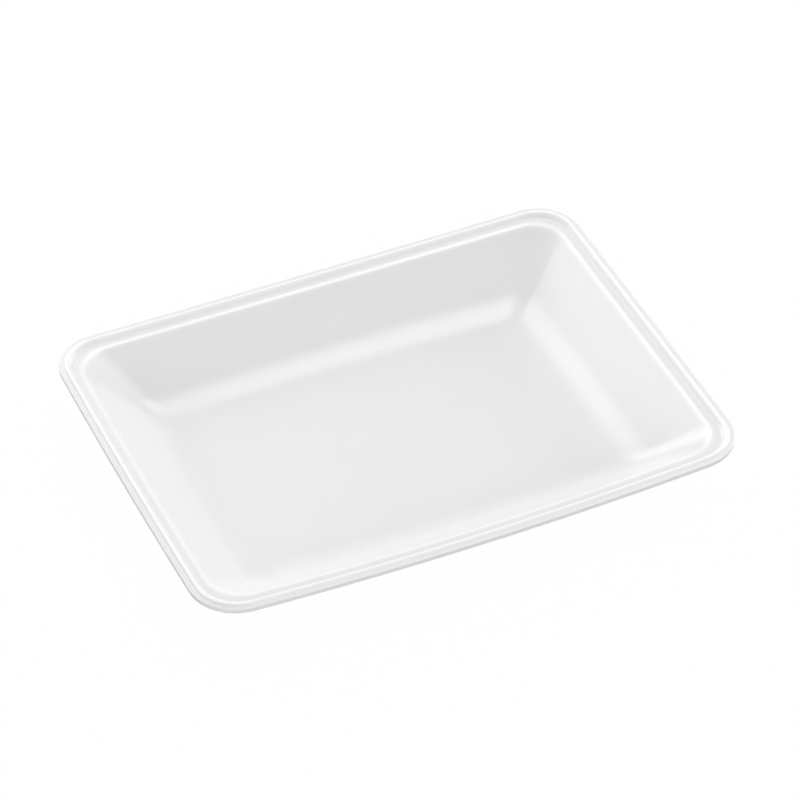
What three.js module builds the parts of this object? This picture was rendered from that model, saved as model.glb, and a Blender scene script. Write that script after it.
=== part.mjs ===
// A shallow rectangular food tray pressed from one sheet of white foam.
// The cross-section is walked once round the tray: flange, bead, ledge, wall, floor and back under.
import * as THREE from "three";

// Overall size, in millimetres.
const overallLength = 229;
const overallWidth = 176.8;
const overallHeight = 25.25;

// Plan shape of the rim.
const outerCornerRadius = 19;
const innerEdgeCornerRadius = 15;
const floorCornerRadius = 5;
const longSideBow = 1.4;
const shortSideBow = 0.4;
const longSideSag = 2.2;
const shortSideSag = 0.9;

// Rim, from the outer edge inwards.
const flangeDrop = 0.85;
const flangeWidth = 2;
const flangeThickness = 1.9;
const beadSlope = THREE.MathUtils.degToRad(45);
const beadRound = 0.8;
const ledgeDrop = 1.65;
const ledgeThickness = 1.9;
const ledgeWidth = 3.1;
const beadChannelDepth = 0.7;
const beadChannelWidth = 1.2;

// Wall and floor.
const wallAngle = THREE.MathUtils.degToRad(40);
const wallThickness = 2.2;
const floorThickness = 2.5;
const floorFilletRadius = 24.5;

// Rounding of the small edges of the rim.
const edgeRound = 0.5;
const valleyRound = 0.45;
const ledgeCreaseRound = 0.45;
const innerEdgeRound = 3.5;
const undersideRound = 0.8;

// Fineness of the curved parts.
const cornerSteps = 10;
const longSideSteps = 6;
const shortSideSteps = 6;
const smallRoundSteps = 3;
const beadSteps = 6;
const filletSteps = 7;
const longestRoundingShare = 0.48;

const foamColour = 0xefefee;
const foamRoughness = 0.6;

// Heights of the level parts.
const flangeHeight = overallHeight - flangeDrop;
const ledgeHeight = overallHeight - ledgeDrop;

// Insets from the outer edge.
const beadPeakHeight = overallHeight + beadRound * (1 / Math.cos(beadSlope) - 1);
const beadMiddle = flangeWidth + (beadPeakHeight - flangeHeight) / Math.tan(beadSlope);
const ledgeStart = beadMiddle + (beadPeakHeight - ledgeHeight) / Math.tan(beadSlope);
const innerEdgeInset = ledgeStart + ledgeWidth;
const wallRun = (ledgeHeight - floorThickness) / Math.tan(wallAngle);
const floorCornerInset = innerEdgeInset + wallRun;

// The underside of the wall runs parallel to the inside, set back by the wall thickness.
const wallSetback = wallThickness / Math.sin(wallAngle);
const ledgeUnderside = ledgeHeight - ledgeThickness;
const flangeUnderside = flangeHeight - flangeThickness;
const outsideWallTop = innerEdgeInset - wallSetback + ledgeThickness / Math.tan(wallAngle);
const outsideWallFoot = innerEdgeInset - wallSetback + ledgeHeight / Math.tan(wallAngle);
const baseFilletRadius = floorFilletRadius + floorThickness;

// A turning point of the section: inset, height, rounding, plan corner radius and fineness.
function turn(inset, height, rounding, steps, planRadius = outerCornerRadius - inset) {
  return { point: new THREE.Vector2(inset, height), rounding, steps, planRadius };
}

// The four turning points that bound the inside and the outside of the wall.
const innerEdge = turn(innerEdgeInset, ledgeHeight, innerEdgeRound, smallRoundSteps, innerEdgeCornerRadius);
const floorFillet = turn(floorCornerInset, floorThickness, floorFilletRadius, filletSteps, floorCornerRadius);
const baseFillet = turn(outsideWallFoot, 0, baseFilletRadius, filletSteps, floorCornerRadius + wallSetback);
const outsideTop = turn(outsideWallTop, ledgeUnderside, undersideRound, smallRoundSteps, innerEdgeCornerRadius);

// The upper side, from the lower outer edge to the foot of the wall.
const upperTurns = [
  turn(0, flangeUnderside, edgeRound, smallRoundSteps),
  turn(0, flangeHeight, edgeRound, smallRoundSteps),
  turn(flangeWidth, flangeHeight, valleyRound, smallRoundSteps),
  turn(beadMiddle, beadPeakHeight, beadRound, beadSteps),
  turn(ledgeStart, ledgeHeight, ledgeCreaseRound, smallRoundSteps),
  innerEdge,
  floorFillet,
];

// The underside, from the foot of the wall back out to the lower outer edge.
const lowerTurns = [
  baseFillet,
  outsideTop,
  turn(beadMiddle + beadChannelWidth, ledgeUnderside, 0, 0),
  turn(beadMiddle + beadChannelWidth / 2, flangeUnderside + beadChannelDepth, 0, 0),
  turn(beadMiddle - beadChannelWidth / 2, flangeUnderside + beadChannelDepth, 0, 0),
  turn(beadMiddle - beadChannelWidth, flangeUnderside, 0, 0),
];

// Replaces one turning point by the points of its rounding arc. The two wide fillets keep their full size.
function roundTurn(before, here, after) {
  if (here.rounding === 0) {
    return [{ inset: here.point.x, height: here.point.y, planRadius: here.planRadius }];
  }
  const inward = before.clone().sub(here.point).normalize();
  const onward = after.clone().sub(here.point).normalize();
  const halfAngle = inward.angleTo(onward) / 2;
  const wanted = here.rounding / Math.tan(halfAngle);
  const shorterSpan = Math.min(before.distanceTo(here.point), after.distanceTo(here.point));
  const longest = longestRoundingShare * shorterSpan;
  const isWideFillet = here === floorFillet || here === baseFillet;
  const reach = isWideFillet ? wanted : Math.min(wanted, longest);
  const radius = reach * Math.tan(halfAngle);
  const bisector = inward.clone().add(onward).normalize();
  const centre = here.point.clone().addScaledVector(bisector, radius / Math.sin(halfAngle));
  const start = inward.clone().multiplyScalar(reach).add(here.point).sub(centre);
  const end = onward.clone().multiplyScalar(reach).add(here.point).sub(centre);
  const sweep = Math.atan2(start.cross(end), start.dot(end));
  const from = start.angle();
  const to = from + sweep;
  const arc = new THREE.EllipseCurve(centre.x, centre.y, radius, radius, from, to, sweep < 0);
  const { planRadius } = here;
  return arc.getPoints(here.steps).map((spot) => ({ inset: spot.x, height: spot.y, planRadius }));
}

// Blends the plan radius evenly along the wall between the inner edge and the foot.
function blendPlanRadius(points, high, low) {
  for (const spot of points) {
    const share = THREE.MathUtils.clamp((high.point.y - spot.height) / (high.point.y - low.point.y), 0, 1);
    const onWall = spot.inset >= high.point.x - high.rounding;
    if (onWall) {
      spot.planRadius = THREE.MathUtils.lerp(high.planRadius, low.planRadius, share);
    }
  }
}

// The whole section as one run of points, starting and ending on the level floor and base.
function sectionPoints() {
  const upper = [];
  const floorReach = new THREE.Vector2(floorCornerInset + floorFilletRadius, floorThickness);
  const baseReach = new THREE.Vector2(outsideWallFoot + baseFilletRadius, 0);
  const lastUnder = lowerTurns[lowerTurns.length - 1].point;
  upperTurns.forEach((here, index) => {
    const before = index === 0 ? lastUnder : upperTurns[index - 1].point;
    const after = index === upperTurns.length - 1 ? floorReach : upperTurns[index + 1].point;
    upper.push(...roundTurn(before, here, after));
  });
  const lower = [];
  lowerTurns.forEach((here, index) => {
    const before = index === 0 ? baseReach : lowerTurns[index - 1].point;
    const after = index === lowerTurns.length - 1 ? upperTurns[0].point : lowerTurns[index + 1].point;
    lower.push(...roundTurn(before, here, after));
  });
  blendPlanRadius(upper, innerEdge, floorFillet);
  blendPlanRadius(lower, outsideTop, baseFillet);
  return [...lower, ...upper];
}

// How fully the sag of the rim shows at a height: all at the ledge, none at the floor.
function rimShare(height) {
  return THREE.MathUtils.clamp((height - floorThickness) / (ledgeUnderside - floorThickness), 0, 1);
}

// The arc of one swelling side, tangent to the corner arcs at both of its ends.
function sideArc(reach, halfSpan, radius, bow) {
  const sideRadius = (halfSpan * halfSpan + 2 * radius * bow + bow * bow) / (2 * bow);
  const lean = Math.asin(halfSpan / (sideRadius - radius));
  return { middle: reach - sideRadius, sideRadius, lean };
}

// The plan outline at one inset: four long arcs joined by four corner arcs, without repeated points.
function planOutline(inset, radius) {
  const reachX = overallLength / 2 - inset;
  const reachY = overallWidth / 2 - inset;
  const cornerX = reachX - shortSideBow - radius;
  const cornerY = reachY - longSideBow - radius;
  const short = sideArc(reachX, cornerY, radius, shortSideBow);
  const long = sideArc(reachY, cornerX, radius, longSideBow);
  const sides = [
    { x: short.middle, y: 0, arc: short, steps: shortSideSteps, cornerX, cornerY, next: long },
    { x: 0, y: long.middle, arc: long, steps: longSideSteps, cornerX: -cornerX, cornerY, next: short },
    { x: -short.middle, y: 0, arc: short, steps: shortSideSteps, cornerX: -cornerX, cornerY: -cornerY, next: long },
    { x: 0, y: -long.middle, arc: long, steps: longSideSteps, cornerX, cornerY: -cornerY, next: short },
  ];
  const outline = [];
  sides.forEach((side, index) => {
    const facing = (index * Math.PI) / 2;
    const { sideRadius, lean } = side.arc;
    const cornerEnd = facing + Math.PI / 2 - side.next.lean;
    const swelling = new THREE.EllipseCurve(side.x, side.y, sideRadius, sideRadius, facing - lean, facing + lean);
    const corner = new THREE.EllipseCurve(side.cornerX, side.cornerY, radius, radius, facing + lean, cornerEnd);
    outline.push(...swelling.getPoints(side.steps).slice(0, -1));
    outline.push(...corner.getPoints(cornerSteps).slice(0, -1));
  });
  return outline;
}

// How far the rim sags at a place in plan, before it is set level with the corners.
function sagAt(x, y, cornerReachX, cornerReachY) {
  const alongLength = x / cornerReachX;
  const alongWidth = y / cornerReachY;
  return longSideSag * (1 - alongLength * alongLength) + shortSideSag * (1 - alongWidth * alongWidth);
}

// One closed loop round the tray at one point of the section.
function loopAt(spot) {
  const share = rimShare(spot.height);
  const reachX = overallLength / 2 - shortSideBow - spot.inset;
  const reachY = overallWidth / 2 - longSideBow - spot.inset;
  const cornerCut = spot.planRadius * (1 - Math.SQRT1_2);
  const cornerSag = sagAt(reachX - cornerCut, reachY - cornerCut, reachX, reachY);
  return planOutline(spot.inset, spot.planRadius).map((place) => {
    const sag = Math.max(0, sagAt(place.x, place.y, reachX, reachY) - cornerSag);
    return new THREE.Vector3(place.x, place.y, spot.height - share * sag);
  });
}

// Skins the loops one after another and closes the middle of the floor and of the base.
function trayGeometry() {
  const loops = sectionPoints().map(loopAt);
  const around = loops[0].length;
  const positions = [];
  for (const loop of loops) {
    for (const vertex of loop) {
      positions.push(vertex.x, vertex.y, vertex.z);
    }
  }
  const faces = [];
  for (let row = 0; row < loops.length - 1; row += 1) {
    for (let column = 0; column < around; column += 1) {
      const next = (column + 1) % around;
      const a = row * around + column;
      const b = row * around + next;
      const c = (row + 1) * around + column;
      const d = (row + 1) * around + next;
      faces.push(a, b, d, a, d, c);
    }
  }
  const baseCentre = positions.length / 3;
  positions.push(0, 0, 0);
  const floorCentre = baseCentre + 1;
  positions.push(0, 0, floorThickness);
  const lastRow = (loops.length - 1) * around;
  for (let column = 0; column < around; column += 1) {
    const next = (column + 1) % around;
    faces.push(baseCentre, next, column);
    faces.push(floorCentre, lastRow + column, lastRow + next);
  }
  const geometry = new THREE.BufferGeometry();
  geometry.setAttribute("position", new THREE.Float32BufferAttribute(positions, 3));
  geometry.setIndex(faces);
  geometry.computeVertexNormals();
  return geometry;
}

const foam = new THREE.MeshStandardMaterial({
  color: foamColour,
  roughness: foamRoughness,
  metalness: 0,
});

const tray = new THREE.Mesh(trayGeometry(), foam);
tray.name = "tray";

const foodTray = new THREE.Group();
foodTray.name = "food_tray";
foodTray.add(tray);

export default foodTray;
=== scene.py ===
"""A shallow white food tray pressed from one sheet of extruded polystyrene foam."""

import logging
import math
from dataclasses import dataclass, field
from enum import Enum

import bmesh
import bpy
from mathutils import Euler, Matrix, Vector

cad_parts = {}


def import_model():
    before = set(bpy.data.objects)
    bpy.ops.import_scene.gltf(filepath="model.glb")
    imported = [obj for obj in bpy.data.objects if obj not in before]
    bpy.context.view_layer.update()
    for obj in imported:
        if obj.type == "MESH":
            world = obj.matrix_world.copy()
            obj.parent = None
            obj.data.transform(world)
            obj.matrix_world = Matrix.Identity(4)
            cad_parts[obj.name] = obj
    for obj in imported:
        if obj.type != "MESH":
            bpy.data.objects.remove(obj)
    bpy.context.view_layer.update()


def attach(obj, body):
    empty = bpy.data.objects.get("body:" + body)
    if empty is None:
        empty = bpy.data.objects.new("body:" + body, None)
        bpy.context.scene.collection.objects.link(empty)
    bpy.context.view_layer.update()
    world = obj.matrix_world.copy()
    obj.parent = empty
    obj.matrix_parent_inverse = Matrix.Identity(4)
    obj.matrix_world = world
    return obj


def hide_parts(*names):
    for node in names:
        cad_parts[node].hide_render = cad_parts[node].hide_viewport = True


log = logging.getLogger("food_tray")

MM = 0.001


def linear_colour(hex_value: str) -> tuple[float, float, float, float]:
    """Turns an sRGB hex colour to a linear colour.

    Args:
        hex_value: six hex digits, such as "f2f2f1".

    Returns:
        Red, green, blue and alpha, the last always one.
    """
    channels = [int(hex_value[place : place + 2], 16) / 255 for place in (0, 2, 4)]
    linear = [c / 12.92 if c <= 0.04045 else ((c + 0.055) / 1.055) ** 2.4 for c in channels]
    return (linear[0], linear[1], linear[2], 1.0)


def per_metre(size_mm: float) -> float:
    """Gives the texture scale at which a pattern repeats about once in size_mm.

    Args:
        size_mm: the size of one cell of the pattern, in millimetres.

    Returns:
        Cells to the metre.
    """
    return 1.0 / (size_mm * MM)


def add_node(
    tree: bpy.types.NodeTree,
    kind: str,
    settings: dict[str, object] | None = None,
    values: dict[str | int, object] | None = None,
    links: dict[str | int, bpy.types.NodeSocket] | None = None,
) -> bpy.types.Node:
    """Adds one node with its settings, socket values and incoming links.

    Args:
        tree: the node tree that gets the node.
        kind: the node's type name.
        settings: attributes to set on the node.
        values: input sockets, by name or place, with the value each takes.
        links: input sockets, by name or place, with the output that feeds each.

    Returns:
        The new node.
    """
    node = tree.nodes.new(kind)
    for name, value in (settings or {}).items():
        setattr(node, name, value)
    for name, value in (values or {}).items():
        node.inputs[name].default_value = value
    for name, source in (links or {}).items():
        tree.links.new(source, node.inputs[name])
    return node


class Side(Enum):
    """The four sides of the tray, each with its outward direction."""

    RIGHT = (1, 0)
    BACK = (0, 1)
    LEFT = (-1, 0)
    FRONT = (0, -1)

    @property
    def is_long(self) -> bool:
        """Tells whether this is one of the two long sides."""
        return self in (Side.BACK, Side.FRONT)


@dataclass(frozen=True)
class Turn:
    """One turning point of the section, in millimetres from the outer edge and above the base."""

    inset: float
    height: float
    rounding: float
    plan_radius: float


@dataclass(frozen=True)
class Spot:
    """One point of the finished section."""

    inset: float
    height: float
    plan_radius: float


@dataclass
class TraySizes:
    """The sizes of the tray, in millimetres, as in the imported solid."""

    length: float = 229.0
    width: float = 176.8
    height: float = 25.25
    outer_corner_radius: float = 19.0
    inner_edge_corner_radius: float = 15.0
    floor_corner_radius: float = 5.0
    long_side_bow: float = 1.4
    short_side_bow: float = 0.4
    long_side_sag: float = 2.2
    short_side_sag: float = 0.9
    flange_drop: float = 0.85
    flange_width: float = 2.0
    flange_thickness: float = 1.9
    bead_slope: float = 45.0
    bead_round: float = 0.8
    ledge_drop: float = 1.65
    ledge_thickness: float = 1.9
    ledge_width: float = 3.1
    bead_channel_depth: float = 0.7
    bead_channel_width: float = 1.2
    wall_angle: float = 40.0
    wall_thickness: float = 2.2
    floor_thickness: float = 2.5
    floor_fillet_radius: float = 24.5
    edge_round: float = 0.5
    valley_round: float = 0.45
    ledge_crease_round: float = 0.45
    inner_edge_round: float = 3.5
    underside_round: float = 0.8

    @property
    def ledge_height(self) -> float:
        """Height of the level ledge."""
        return self.height - self.ledge_drop

    @property
    def flange_height(self) -> float:
        """Height of the upper face of the flange."""
        return self.height - self.flange_drop

    @property
    def ledge_underside(self) -> float:
        """Height of the lower face of the ledge."""
        return self.ledge_height - self.ledge_thickness

    @property
    def flange_underside(self) -> float:
        """Height of the lower face of the flange."""
        return self.flange_height - self.flange_thickness

    @property
    def bead_peak(self) -> float:
        """Height where the bead's two flanks would meet if its crown weren't rounded."""
        return self.height + self.bead_round * (1 / math.cos(math.radians(self.bead_slope)) - 1)

    @property
    def ledge_start(self) -> float:
        """Inset where the ledge starts, at the foot of the bead."""
        fall = self.bead_peak - self.ledge_height
        return self.bead_middle + fall / math.tan(math.radians(self.bead_slope))

    @property
    def inner_edge(self) -> float:
        """Inset of the inner edge, where the ledge turns down into the wall."""
        return self.ledge_start + self.ledge_width

    @property
    def bead_middle(self) -> float:
        """Inset of the middle of the bead."""
        rise = self.bead_peak - self.flange_height
        return self.flange_width + rise / math.tan(math.radians(self.bead_slope))


@dataclass
class TraySection:
    """The section of the foam sheet, from the foot of the outer wall out over the rim to the floor."""

    sizes: TraySizes
    small_steps: int = 8
    fillet_steps: int = 22
    longest_span: float = 1.6
    longest_rounding_share: float = 0.48
    span_margin: float = 0.12
    channel_round: float = 0.25

    def upper_turns(self) -> list[Turn]:
        """Lists the turning points of the inside, from the lower outer edge to the foot of the wall."""
        s = self.sizes
        run = (s.ledge_height - s.floor_thickness) / math.tan(math.radians(s.wall_angle))
        corner = s.outer_corner_radius
        return [
            Turn(0.0, s.flange_underside, s.edge_round, corner),
            Turn(0.0, s.flange_height, s.edge_round, corner),
            Turn(s.flange_width, s.flange_height, s.valley_round, corner - s.flange_width),
            Turn(s.bead_middle, s.bead_peak, s.bead_round, corner - s.bead_middle),
            Turn(s.ledge_start, s.ledge_height, s.ledge_crease_round, corner - s.ledge_start),
            Turn(s.inner_edge, s.ledge_height, s.inner_edge_round, s.inner_edge_corner_radius),
            Turn(s.inner_edge + run, s.floor_thickness, s.floor_fillet_radius, s.floor_corner_radius),
        ]

    def lower_turns(self) -> list[Turn]:
        """Lists the turning points of the underside, from the foot of the wall out to the flange."""
        s = self.sizes
        slope = math.radians(s.wall_angle)
        setback = s.wall_thickness / math.sin(slope)
        foot = s.inner_edge - setback + s.ledge_height / math.tan(slope)
        top = s.inner_edge - setback + s.ledge_thickness / math.tan(slope)
        middle = s.bead_middle
        half = s.bead_channel_width / 2
        soft = self.channel_round
        corner = s.outer_corner_radius
        channel_top = s.flange_underside + s.bead_channel_depth
        base_fillet = s.floor_fillet_radius + s.floor_thickness
        return [
            Turn(foot, 0.0, base_fillet, s.floor_corner_radius + setback),
            Turn(top, s.ledge_underside, s.underside_round, s.inner_edge_corner_radius),
            Turn(middle + 2 * half, s.ledge_underside, soft, corner - middle - 2 * half),
            Turn(middle + half, channel_top, soft, corner - middle - half),
            Turn(middle - half, channel_top, soft, corner - middle + half),
            Turn(middle - 2 * half, s.flange_underside, soft, corner - middle + 2 * half),
        ]

    def rounded(self, before: Turn, here: Turn, after: Turn, steps: int) -> list[Spot]:
        """Replaces one turning point by the points of its rounding arc.

        Args:
            before: the turning point before it.
            here: the turning point itself.
            after: the turning point after it.
            steps: how many steps the arc is drawn in.

        Returns:
            The points of the arc, in order.
        """
        corner = Vector((here.inset, here.height))
        inward = Vector((before.inset, before.height)) - corner
        onward = Vector((after.inset, after.height)) - corner
        longest = self.longest_rounding_share * min(inward.length, onward.length)
        inward.normalize()
        onward.normalize()
        half_angle = math.acos(max(-1.0, min(1.0, inward.dot(onward)))) / 2
        reach = here.rounding / math.tan(half_angle)
        if steps != self.fillet_steps:
            reach = min(reach, longest)
        radius = reach * math.tan(half_angle)
        centre = corner + (inward + onward).normalized() * (radius / math.sin(half_angle))
        start = corner + inward * reach - centre
        end = corner + onward * reach - centre
        sweep = math.atan2(start.x * end.y - start.y * end.x, start.dot(end))
        spots = []
        for step in range(steps + 1):
            angle = sweep * step / steps
            x = centre.x + start.x * math.cos(angle) - start.y * math.sin(angle)
            y = centre.y + start.x * math.sin(angle) + start.y * math.cos(angle)
            spots.append(Spot(x, y, here.plan_radius))
        return spots

    def blended(self, spots: list[Spot], high: Turn, low: Turn) -> list[Spot]:
        """Blends the plan radius evenly down the wall.

        Args:
            spots: points of one face of the section.
            high: the turning point at the top of the wall.
            low: the turning point at its foot.

        Returns:
            The same points with their blended radii.
        """
        result = []
        for spot in spots:
            radius = spot.plan_radius
            if spot.inset >= high.inset - high.rounding:
                share = (high.height - spot.height) / (high.height - low.height)
                share = max(0.0, min(1.0, share))
                radius = high.plan_radius + (low.plan_radius - high.plan_radius) * share
            result.append(Spot(spot.inset, spot.height, radius))
        return result

    def spanned(self, spots: list[Spot]) -> list[Spot]:
        """Adds points along the straight spans, so that no span is long and flat faces shade flat.

        Args:
            spots: points with long spans between them.

        Returns:
            The points with the new ones between them.
        """
        result = [spots[0]]
        for before, after in zip(spots, spots[1:]):
            gap = math.hypot(after.inset - before.inset, after.height - before.height)
            parts = max(1, math.ceil(gap / self.longest_span))
            shares = [step / parts for step in range(1, parts + 1)]
            if parts > 1:
                margin = self.span_margin / gap
                shares = [margin] + shares[:-1] + [1 - margin, 1.0]
            for share in shares:
                result.append(
                    Spot(
                        before.inset + (after.inset - before.inset) * share,
                        before.height + (after.height - before.height) * share,
                        before.plan_radius + (after.plan_radius - before.plan_radius) * share,
                    )
                )
        return result

    def spots(self) -> list[Spot]:
        """Gives the whole section, from the flat base out, over the rim and in to the level floor."""
        upper, lower = self.upper_turns(), self.lower_turns()
        base_reach = Turn(lower[0].inset + lower[0].rounding, 0.0, 0.0, 0.0)
        floor_reach = Turn(upper[-1].inset + upper[-1].rounding, upper[-1].height, 0.0, 0.0)
        under = []
        for index, here in enumerate(lower):
            before = base_reach if index == 0 else lower[index - 1]
            after = upper[0] if index == len(lower) - 1 else lower[index + 1]
            steps = self.fillet_steps if index == 0 else self.small_steps
            under.extend(self.rounded(before, here, after, steps))
        over = []
        for index, here in enumerate(upper):
            before = lower[-1] if index == 0 else upper[index - 1]
            after = floor_reach if index == len(upper) - 1 else upper[index + 1]
            steps = self.fillet_steps if index == len(upper) - 1 else self.small_steps
            over.extend(self.rounded(before, here, after, steps))
        base_foot, outside_top = lower[:2]
        inner_edge, floor_foot = upper[-2:]
        under = self.blended(under, outside_top, base_foot)
        over = self.blended(over, inner_edge, floor_foot)
        return self.spanned(under + over)


@dataclass(frozen=True)
class Outline:
    """A rounded rectangle with swelling sides, drawn as four corner arcs and four long arcs."""

    half_length: float
    half_width: float
    corner_radius: float
    long_side_bow: float
    short_side_bow: float

    def reach(self, side: Side) -> float:
        """Gives the distance from the centre to the middle of a side.

        Args:
            side: the side.

        Returns:
            The distance in millimetres.
        """
        return self.half_width if side.is_long else self.half_length

    def bow(self, side: Side) -> float:
        """Gives how far the middle of a side stands out beyond its corners.

        Args:
            side: the side.

        Returns:
            The bow in millimetres.
        """
        return self.long_side_bow if side.is_long else self.short_side_bow

    def points(self, side_steps: int, corner_steps: int) -> list[Vector]:
        """Draws the outline as one closed run of points.

        Args:
            side_steps: steps along each side.
            corner_steps: steps round each corner.

        Returns:
            The points in millimetres.
        """
        run = []
        radius = self.corner_radius
        corner_x = self.half_length - self.short_side_bow - radius
        corner_y = self.half_width - self.long_side_bow - radius
        for side in Side:
            out = Vector(side.value)
            along = Vector((-out.y, out.x))
            to_corner = corner_y if side.is_long else corner_x
            half_span = corner_x if side.is_long else corner_y
            next_bow = self.short_side_bow if side.is_long else self.long_side_bow
            bow = self.bow(side)
            side_radius = (half_span**2 + 2 * radius * bow + bow**2) / (2 * bow)
            next_radius = (to_corner**2 + 2 * radius * next_bow + next_bow**2) / (2 * next_bow)
            lean = math.asin(half_span / (side_radius - radius))
            next_lean = math.asin(to_corner / (next_radius - radius))
            middle = out * (self.reach(side) - side_radius)
            for step in range(side_steps):
                angle = lean * (2 * step / side_steps - 1)
                run.append(middle + (out * math.cos(angle) + along * math.sin(angle)) * side_radius)
            corner = out * to_corner + along * half_span
            for step in range(corner_steps):
                angle = lean + (math.pi / 2 - lean - next_lean) * step / corner_steps
                run.append(corner + (out * math.cos(angle) + along * math.sin(angle)) * radius)
        return run


@dataclass(frozen=True)
class ExtrudedPolystyreneFoam:
    """Extruded polystyrene foam sheet, hot-pressed between smooth moulds.

    The closed skin gives a soft, broad sheen. The fine closed cells under it show as a faint speckle
    that is clearest where the sheen is strongest. Along the crown lines of the rim a painted highlight
    lightens the base colour, so these lines look brighter than the rest.
    """

    name: str = "extruded_polystyrene_foam"
    colour: str = "ececec"
    cell_colour: str = "e7e7e7"
    # painted highlight: the lighter colour mixed in along the crown lines of the rim
    painted_highlight_colour: str = "fcfcfc"
    painted_highlight_attribute: str = "crown"
    cell_mm: float = 0.7
    cloud_mm: float = 14.0
    roughness: float = 0.32
    roughness_spread: float = 0.03
    ior: float = 1.59
    bump_mm: float = 0.006

    def material(self) -> bpy.types.Material:
        """Builds the procedural material."""
        made = bpy.data.materials.new(self.name)
        made.use_nodes = True
        tree = made.node_tree
        tree.nodes.clear()
        place = add_node(tree, "ShaderNodeTexCoord").outputs["Object"]
        cells = add_node(
            tree,
            "ShaderNodeTexNoise",
            values={"Scale": per_metre(self.cell_mm), "Detail": 2.0, "Roughness": 0.6},
            links={"Vector": place},
        )
        clouds = add_node(
            tree,
            "ShaderNodeTexNoise",
            values={"Scale": per_metre(self.cloud_mm), "Detail": 2.0, "Roughness": 0.5},
            links={"Vector": place},
        )
        tone = add_node(
            tree,
            "ShaderNodeMix",
            settings={"data_type": "RGBA"},
            values={6: linear_colour(self.colour), 7: linear_colour(self.cell_colour)},
            links={0: cells.outputs["Fac"]},
        )
        # painted highlight: the crown attribute marks the rim's crown lines, and the mix below paints
        # the lighter colour over the foam tone there
        crown = add_node(
            tree, "ShaderNodeAttribute", settings={"attribute_name": self.painted_highlight_attribute}
        )
        painted_highlight_tone = add_node(
            tree,
            "ShaderNodeMix",
            settings={"data_type": "RGBA"},
            values={7: linear_colour(self.painted_highlight_colour)},
            links={0: crown.outputs["Fac"], 6: tone.outputs[2]},
        )
        gloss = add_node(
            tree,
            "ShaderNodeMapRange",
            values={
                "From Min": 0.3,
                "From Max": 0.7,
                "To Min": self.roughness - self.roughness_spread,
                "To Max": self.roughness + self.roughness_spread,
            },
            links={"Value": clouds.outputs["Fac"]},
        )
        relief = add_node(
            tree,
            "ShaderNodeBump",
            values={"Strength": 1.0, "Distance": self.bump_mm * MM},
            links={"Height": cells.outputs["Fac"]},
        )
        shader = add_node(
            tree,
            "ShaderNodeBsdfPrincipled",
            values={
                "IOR": self.ior,
                "Metallic": 0.0,
            },
            links={
                "Base Color": painted_highlight_tone.outputs[2],
                "Roughness": gloss.outputs["Result"],
                "Normal": relief.outputs["Normal"],
            },
        )
        add_node(tree, "ShaderNodeOutputMaterial", links={"Surface": shader.outputs["BSDF"]})
        return made


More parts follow.
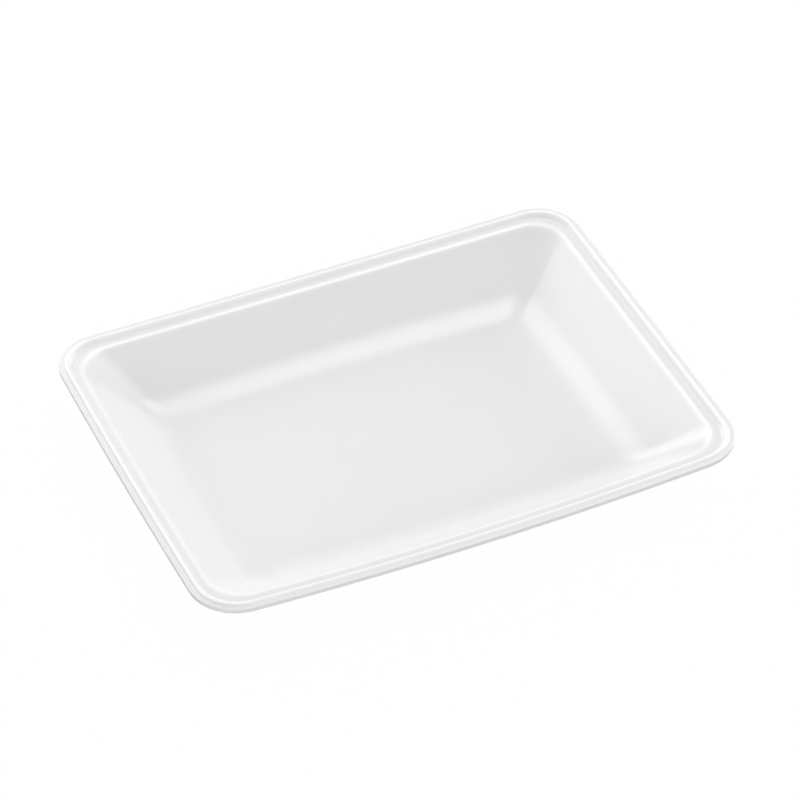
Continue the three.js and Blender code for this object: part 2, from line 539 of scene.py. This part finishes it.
@dataclass
class TrayShell:
    """The one pressed piece: the section walked once round the rounded rectangle of the tray."""

    sizes: TraySizes
    section: TraySection
    foam: ExtrudedPolystyreneFoam
    corner_steps: int = 24
    side_steps: int = 24
    closing_rings: tuple[float, ...] = (0.85, 0.6, 0.3)
    # reach of the painted highlight from each crown line, and its weaker share on the inner edge
    painted_highlight_reach: float = 1.4
    inner_edge_highlight_share: float = 0.8
    name: str = "pressed_foam_tray"
    piece: bpy.types.Object | None = field(default=None, init=False)

    def rim_share(self, height: float) -> float:
        """Tells how fully the sag of the rim shows at a height.

        Args:
            height: height above the base, in millimetres.

        Returns:
            One at the ledge and above, none at the floor and below.
        """
        s = self.sizes
        share = (height - s.floor_thickness) / (s.ledge_underside - s.floor_thickness)
        return max(0.0, min(1.0, share))

    def loop(self, spot: Spot) -> list[Vector]:
        """Draws one closed loop round the tray at one point of the section.

        Args:
            spot: the point of the section.

        Returns:
            The loop's points, in metres.
        """
        s = self.sizes
        share = self.rim_share(spot.height)
        outline = Outline(
            s.length / 2 - spot.inset,
            s.width / 2 - spot.inset,
            spot.plan_radius,
            s.long_side_bow,
            s.short_side_bow,
        )
        reach_x = outline.half_length - s.short_side_bow
        reach_y = outline.half_width - s.long_side_bow
        cut = spot.plan_radius * (1 - math.sqrt(0.5))
        corner_sag = self.sag_at(1 - cut / reach_x, 1 - cut / reach_y)
        points = []
        for place in outline.points(self.side_steps, self.corner_steps):
            sag = max(0.0, self.sag_at(place.x / reach_x, place.y / reach_y) - corner_sag)
            points.append(Vector((place.x, place.y, spot.height - share * sag)) * MM)
        return points

    def painted_highlight_share(self, spot: Spot) -> float:
        """Tells how strongly the painted highlight lightens a point of the section, by its nearness to
        one of the two crown lines of the rim.

        Args:
            spot: the point of the section.

        Returns:
            One on the bead's crown, a little less on the inner edge, and none away from both.
        """
        s = self.sizes
        if spot.height <= s.ledge_underside:
            return 0.0
        on_bead = 1.0 - abs(spot.inset - s.bead_middle) / self.painted_highlight_reach
        on_inner_edge = 1.0 - abs(spot.inset - s.inner_edge) / self.painted_highlight_reach
        return max(0.0, on_bead, self.inner_edge_highlight_share * on_inner_edge)

    def sag_at(self, along_length: float, along_width: float) -> float:
        """Gives how far the rim sags at a place, before it is set level with the corners.

        Args:
            along_length: the place's share of the half length.
            along_width: the place's share of the half width.

        Returns:
            The sag in millimetres.
        """
        s = self.sizes
        return s.long_side_sag * (1 - along_length**2) + s.short_side_sag * (1 - along_width**2)

    def close_flat(
        self, mesh: bmesh.types.BMesh, ring: list[bmesh.types.BMVert], turned: bool
    ) -> None:
        """Fills a level opening with rings that shrink to its centre.

        Args:
            mesh: the mesh that gets the faces.
            ring: the vertices round the opening.
            turned: whether the faces look down instead of up.
        """
        outline = [vertex.co.copy() for vertex in ring]
        height = outline[0].z
        rings = [ring]
        for share in self.closing_rings:
            rings.append([mesh.verts.new((p.x * share, p.y * share, height)) for p in outline])
        centre = mesh.verts.new((0.0, 0.0, height))
        for outer, inner in zip(rings, rings[1:]):
            for index, vertex in enumerate(outer):
                after = (index + 1) % len(outer)
                face = [vertex, outer[after], inner[after], inner[index]]
                mesh.faces.new(face[::-1] if turned else face)
        last = rings[-1]
        for index, vertex in enumerate(last):
            face = [vertex, last[(index + 1) % len(last)], centre]
            mesh.faces.new(face[::-1] if turned else face)

    def build(self) -> None:
        """Builds the closed mesh of the tray."""
        mesh = bmesh.new()
        rings = []
        shares = []
        for spot in self.section.spots():
            rings.append([mesh.verts.new(point) for point in self.loop(spot)])
            # per-vertex strength of the painted highlight along the crown lines
            shares.extend([self.painted_highlight_share(spot)] * len(rings[-1]))
        for lower, upper in zip(rings, rings[1:]):
            for index, vertex in enumerate(lower):
                after = (index + 1) % len(lower)
                mesh.faces.new([vertex, lower[after], upper[after], upper[index]])
        self.close_flat(mesh, rings[0], turned=True)
        self.close_flat(mesh, rings[-1], turned=False)
        for face in mesh.faces:
            face.smooth = True
        data = bpy.data.meshes.new(self.name)
        mesh.to_mesh(data)
        mesh.free()
        shares.extend([0.0] * (len(data.vertices) - len(shares)))
        # stores the painted highlight mask on the mesh
        crown = data.attributes.new(self.foam.painted_highlight_attribute, "FLOAT", "POINT")
        crown.data.foreach_set("value", shares)
        self.piece = bpy.data.objects.new(self.name, data)
        bpy.context.scene.collection.objects.link(self.piece)

    def dress(self) -> None:
        """Gives the tray its foam finish and ties it to the frame."""
        self.piece.data.materials.append(self.foam.material())
        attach(self.piece, "root")
        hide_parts("tray")
        log.info("%s: %d faces", self.piece.name, len(self.piece.data.polygons))


@dataclass(frozen=True)
class SoftBox:
    """One round soft box: where it hangs as seen from the tray, and how strong it is.

    The azimuth turns from +X towards +Y. The spread is the angle from its middle to its edge.
    """

    name: str
    azimuth: float
    elevation: float
    spread: float
    power: float
    distance_mm: float = 1700.0


@dataclass
class Studio:
    """A plain white sweep under a large soft light, and the camera."""

    floor_size_mm: float = 6000.0
    floor_colour: str = "d8d8d8"
    sweep_shadow: float = 0.01
    floor_gap_mm: float = 0.05
    sky_strength: float = 0.14
    lamps: tuple[SoftBox, ...] = (
        SoftBox("back_soft_box", 104.0, 28.0, 22.0, 17.2),
        SoftBox("overhead_soft_box", 20.0, 62.0, 20.0, 13.4),
        SoftBox("right_soft_box", 10.0, 10.0, 14.0, 12.3),
        SoftBox("front_left_soft_box", 235.0, 14.0, 13.0, 7.6),
        SoftBox("front_soft_box", 285.0, 35.0, 15.0, 6.0),
        SoftBox("left_soft_box", 180.0, 40.0, 15.0, 3.3),
    )
    camera_mm: tuple[float, float, float] = (-496.81, -1161.31, 1119.76)
    camera_turn: tuple[float, float, float] = (49.0362, 0.839, -24.012)
    lens_mm: float = 190.65
    sensor_mm: float = 36.0
    sight_mm: float = 20000.0

    def sweep_material(self) -> bpy.types.Material:
        """Builds the floor's finish: matt, but plain white with a faint shadow to the camera."""
        made = bpy.data.materials.new("matt_white_sweep")
        made.use_nodes = True
        tree = made.node_tree
        tree.nodes.clear()
        rays = add_node(tree, "ShaderNodeLightPath")
        seen = add_node(
            tree,
            "ShaderNodeMath",
            settings={"operation": "MAXIMUM"},
            links={0: rays.outputs["Is Camera Ray"], 1: rays.outputs["Is Transmission Ray"]},
        )
        lit = add_node(
            tree,
            "ShaderNodeBsdfDiffuse",
            values={"Color": linear_colour(self.floor_colour)},
        )
        bright = add_node(
            tree,
            "ShaderNodeEmission",
            values={"Color": (1.0, 1.0, 1.0, 1.0), "Strength": 1.0},
        )
        faint = add_node(
            tree,
            "ShaderNodeMixShader",
            values={0: 1 - self.sweep_shadow},
            links={1: lit.outputs["BSDF"], 2: bright.outputs["Emission"]},
        )
        pick = add_node(
            tree,
            "ShaderNodeMixShader",
            links={
                0: seen.outputs["Value"],
                1: lit.outputs["BSDF"],
                2: faint.outputs["Shader"],
            },
        )
        add_node(tree, "ShaderNodeOutputMaterial", links={"Surface": pick.outputs["Shader"]})
        return made

    def lay_floor(self) -> None:
        """Lays the white floor that the tray stands on."""
        half = self.floor_size_mm / 2 * MM
        mesh = bmesh.new()
        low = -self.floor_gap_mm * MM
        corners = [(-half, -half, low), (half, -half, low), (half, half, low), (-half, half, low)]
        mesh.faces.new([mesh.verts.new(corner) for corner in corners])
        data = bpy.data.meshes.new("white_floor")
        mesh.to_mesh(data)
        mesh.free()
        floor = bpy.data.objects.new("white_floor", data)
        floor.data.materials.append(self.sweep_material())
        bpy.context.scene.collection.objects.link(floor)

    def light_room(self) -> None:
        """Sets the even white surroundings."""
        world = bpy.data.worlds.new("white_room")
        world.use_nodes = True
        tree = world.node_tree
        tree.nodes.clear()
        rays = add_node(tree, "ShaderNodeLightPath")
        strength = add_node(
            tree,
            "ShaderNodeMapRange",
            values={"To Min": self.sky_strength, "To Max": 1.0},
            links={"Value": rays.outputs["Is Camera Ray"]},
        )
        sky = add_node(
            tree,
            "ShaderNodeBackground",
            values={"Color": (1.0, 1.0, 1.0, 1.0)},
            links={"Strength": strength.outputs["Result"]},
        )
        add_node(tree, "ShaderNodeOutputWorld", links={"Surface": sky.outputs["Background"]})
        bpy.context.scene.world = world

    def hang_lamp(self, lamp: SoftBox) -> None:
        """Hangs one soft box facing the tray.

        Args:
            lamp: the soft box.
        """
        light = bpy.data.lights.new(lamp.name, "AREA")
        light.shape = "DISK"
        light.size = 2 * lamp.distance_mm * math.tan(math.radians(lamp.spread)) * MM
        light.energy = lamp.power
        holder = bpy.data.objects.new(lamp.name, light)
        turn, climb = math.radians(lamp.azimuth), math.radians(lamp.elevation)
        level = math.cos(climb)
        way = Vector((math.cos(turn) * level, math.sin(turn) * level, math.sin(climb)))
        holder.location = way * lamp.distance_mm * MM
        holder.rotation_euler = (-way).to_track_quat("-Z", "Y").to_euler()
        bpy.context.scene.collection.objects.link(holder)

    def set_camera(self) -> None:
        """Sets the camera at the photograph's place."""
        lens = bpy.data.cameras.new("camera")
        lens.lens = self.lens_mm
        lens.sensor_width = self.sensor_mm
        lens.clip_end = self.sight_mm * MM
        holder = bpy.data.objects.new("camera", lens)
        holder.location = Vector(self.camera_mm) * MM
        holder.rotation_euler = Euler([math.radians(turn) for turn in self.camera_turn], "XYZ")
        bpy.context.scene.collection.objects.link(holder)
        bpy.context.scene.camera = holder

    def build(self) -> None:
        """Sets up the floor, the lights and the camera."""
        self.lay_floor()
        self.light_room()
        for lamp in self.lamps:
            self.hang_lamp(lamp)
        self.set_camera()
        bpy.context.scene.view_settings.view_transform = "Standard"
        log.info("studio: floor, room light, %d soft boxes and camera", len(self.lamps))


def main() -> None:
    """Loads the frame and builds the tray and the studio in order."""
    logging.basicConfig(level=logging.INFO, format="%(name)s: %(message)s")
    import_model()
    sizes = TraySizes()
    Studio().build()
    tray = TrayShell(sizes, TraySection(sizes), ExtrudedPolystyreneFoam())
    tray.build()
    tray.dress()


if __name__ == "__main__":
    main()
